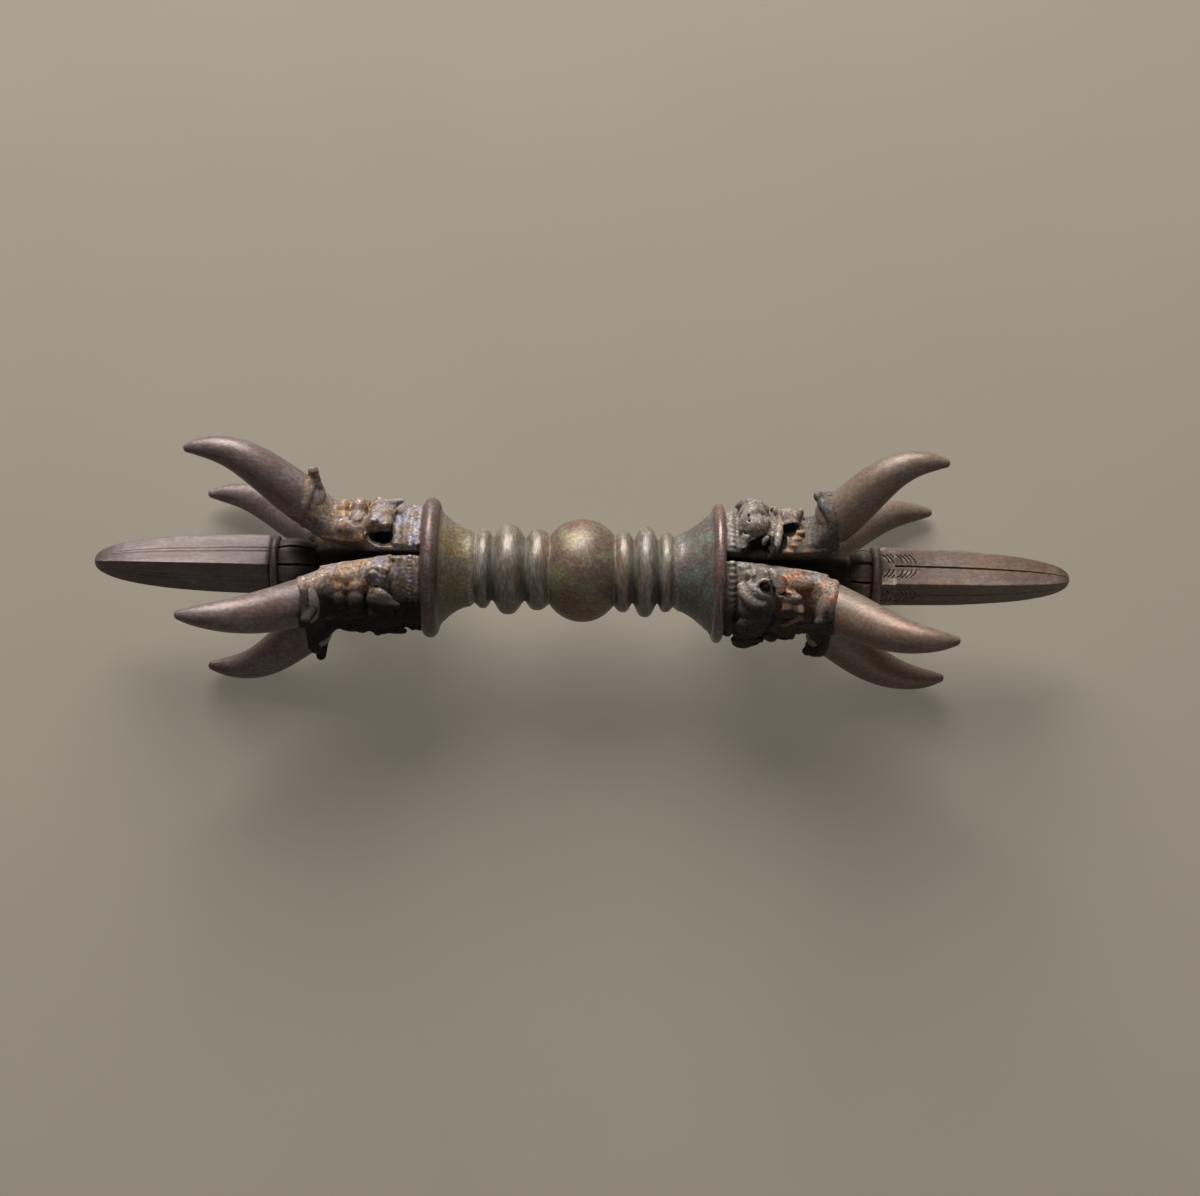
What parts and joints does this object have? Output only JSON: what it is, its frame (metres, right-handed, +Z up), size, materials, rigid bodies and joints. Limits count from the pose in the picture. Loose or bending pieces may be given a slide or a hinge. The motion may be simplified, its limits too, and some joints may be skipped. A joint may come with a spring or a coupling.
{
  "type": "dorje vajra",
  "caption": "Bronze ritual sceptre: a ringed ball grip between flared bell collars, with a cage of beast-headed claws round a four-edged blade at each end.",
  "frame": {"origin": "middle of the hub ball, on the long axis", "axes": "+X along the grip towards the end with the shorter ring sleeve, +Z up as it lies on two claws of each end, -Y towards the front"},
  "size_m": [0.22, 0.0471, 0.0479],
  "materials": {
    "ball_bronze": "red-brown patinated bronze, smooth from handling",
    "grip_bronze": "olive and ochre patinated bronze",
    "bell_bronze": "grey-green verdigris over brown bronze",
    "head_bronze": "chased bronze, dark recesses and rubbed highlights",
    "claw_bronze": "smooth purple-brown patinated bronze",
    "blade_bronze": "grey-brown patinated bronze, rubbed along its edges",
    "spindle_iron": "dark forged iron"
  },
  "bodies": {
    "root": {"spindle": "spindle_iron", "hub_ball": "ball_bronze", "left_ring_sleeve": "grip_bronze", "right_ring_sleeve": "grip_bronze", "left_bell_collar": "bell_bronze", "right_bell_collar": "bell_bronze", "left_head_top_front": "head_bronze", "left_head_top_back": "head_bronze", "left_head_bottom_back": "head_bronze", "left_head_bottom_front": "head_bronze", "right_head_top_front": "head_bronze", "right_head_top_back": "head_bronze", "right_head_bottom_back": "head_bronze", "right_head_bottom_front": "head_bronze", "left_claw_top_front": "claw_bronze", "left_claw_top_back": "claw_bronze", "left_claw_bottom_back": "claw_bronze", "left_claw_bottom_front": "claw_bronze", "right_claw_top_front": "claw_bronze", "right_claw_top_back": "claw_bronze", "right_claw_bottom_back": "claw_bronze", "right_claw_bottom_front": "claw_bronze", "left_blade": "blade_bronze", "right_blade": "blade_bronze", "left_blade_ferrule": "blade_bronze", "right_blade_ferrule": "blade_bronze", "left_blade_pin": "spindle_iron", "right_blade_pin": "spindle_iron"}
  },
  "joints": []
}
